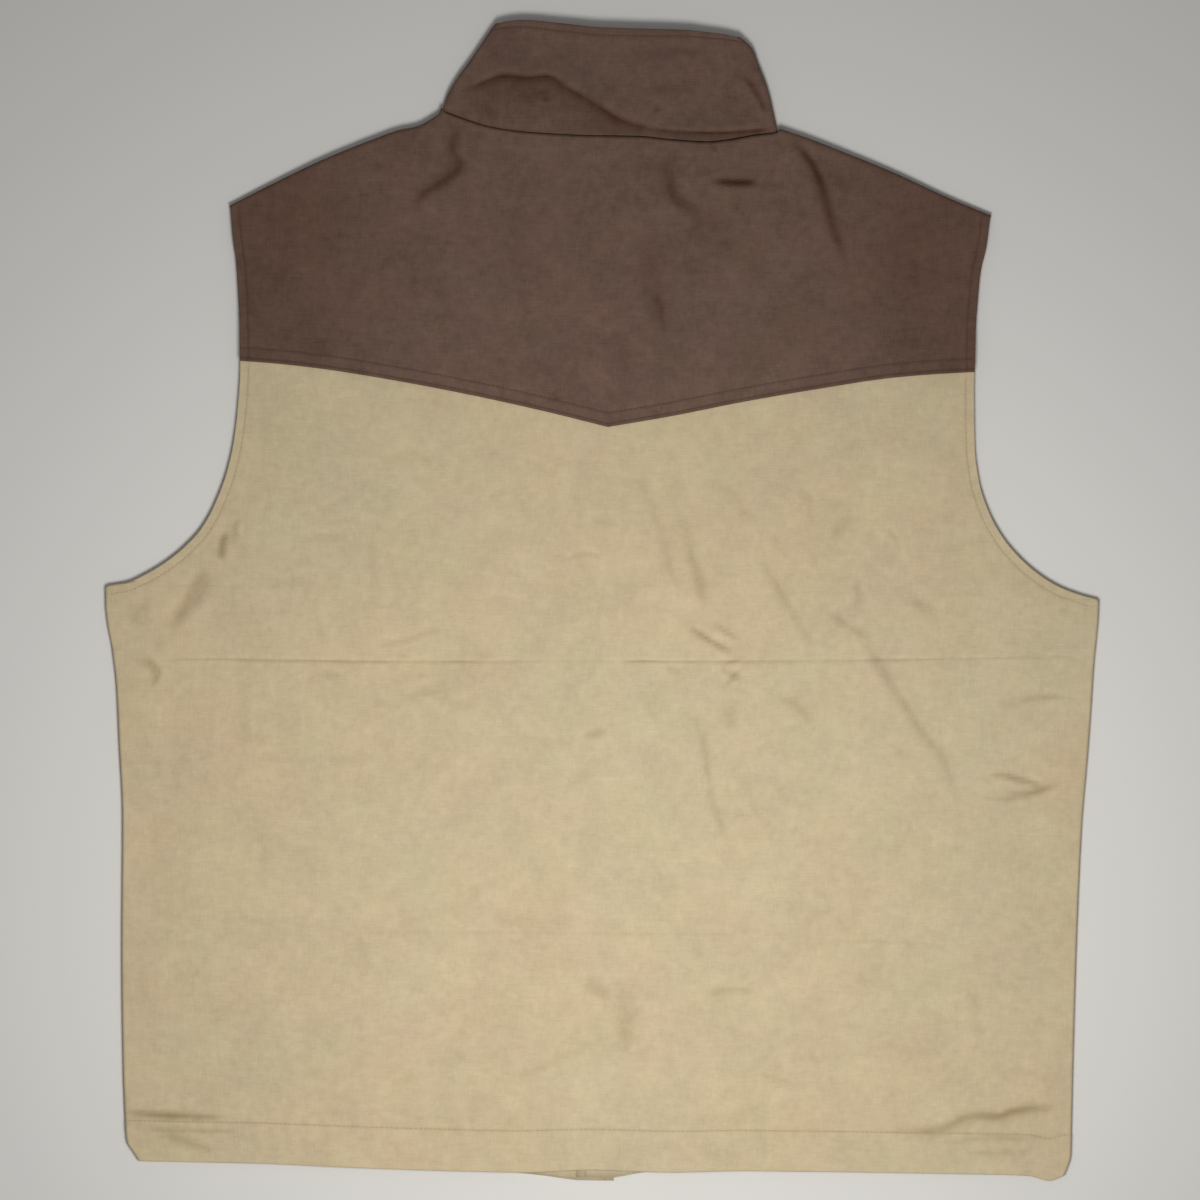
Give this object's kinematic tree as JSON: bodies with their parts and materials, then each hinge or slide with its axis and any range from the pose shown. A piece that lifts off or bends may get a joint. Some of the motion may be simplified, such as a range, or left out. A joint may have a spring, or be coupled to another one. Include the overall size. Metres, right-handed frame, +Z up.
{
  "type": "western vest",
  "caption": "Sleeveless canvas vest with a pointed contrast back yoke and a stand collar, snapped closed and laid flat with its back up.",
  "frame": {"origin": "on the ground, under the middle of the vest's box", "axes": "+Z up, out of the back; +Y from the hem to the collar; +X towards the wearer's right side"},
  "size_m": [0.6367, 0.7423, 0.0089],
  "materials": {
    "tan_canvas": "matt, washed cotton canvas",
    "brown_canvas": "matt, washed cotton canvas",
    "snap_metal": "antique brass, satin"
  },
  "bodies": {
    "root": {"back_panel": "tan_canvas", "front_left": "tan_canvas", "front_right": "tan_canvas", "back_yoke": "brown_canvas", "collar": "brown_canvas", "snap_1": "snap_metal", "snap_2": "snap_metal", "snap_3": "snap_metal", "snap_4": "snap_metal", "snap_5": "snap_metal", "snap_6": "snap_metal", "snap_collar": "snap_metal"}
  },
  "joints": []
}
